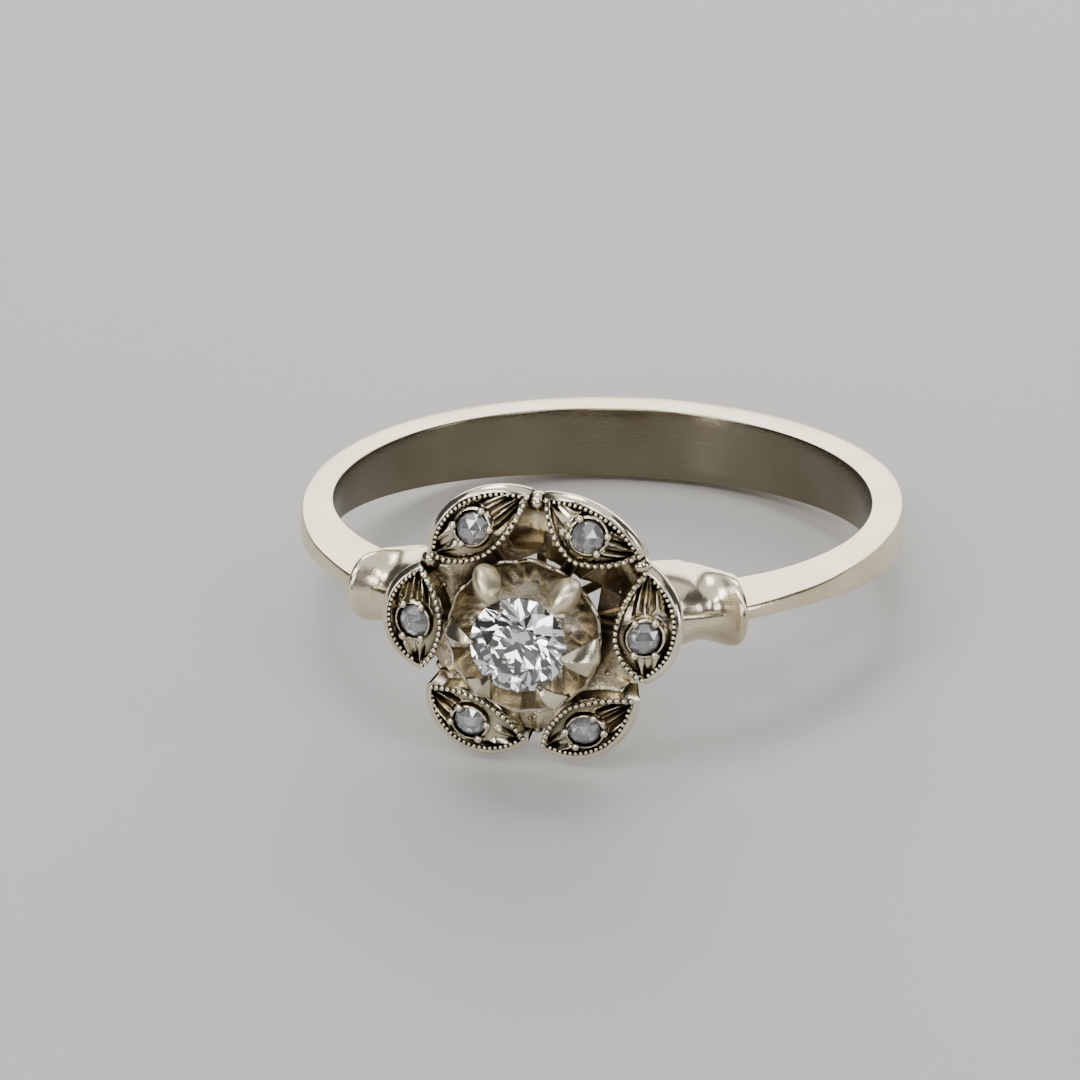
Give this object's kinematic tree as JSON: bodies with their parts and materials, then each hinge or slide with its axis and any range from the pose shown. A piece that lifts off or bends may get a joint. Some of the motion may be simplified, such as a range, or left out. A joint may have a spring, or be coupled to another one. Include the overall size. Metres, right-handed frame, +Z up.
{
  "type": "flower ring",
  "caption": "Finger ring: a slim shank with flared bell collars and a flower of domed petals around a claw-set round stone, each petal set with a small stone.",
  "frame": {"origin": "middle of the ring's footprint, on the surface it lies on", "axes": "+X across the flower, +Y from the flower to the back of the shank, +Z up. The ring lies on its side, on two petals and the back of the shank, so the finger hole's axis leans from +Z towards +Y by about 9.4 degrees."},
  "size_m": [0.0194, 0.024, 0.0088],
  "materials": {
    "white_gold": "worn polish, warm white metal",
    "clear_stone": "faceted and polished"
  },
  "bodies": {
    "root": {"shank_and_flower": "white_gold", "centre_stone": "clear_stone", "petal_stone_1": "clear_stone", "petal_stone_2": "clear_stone", "petal_stone_3": "clear_stone", "petal_stone_4": "clear_stone", "petal_stone_5": "clear_stone", "petal_stone_6": "clear_stone"}
  },
  "joints": []
}
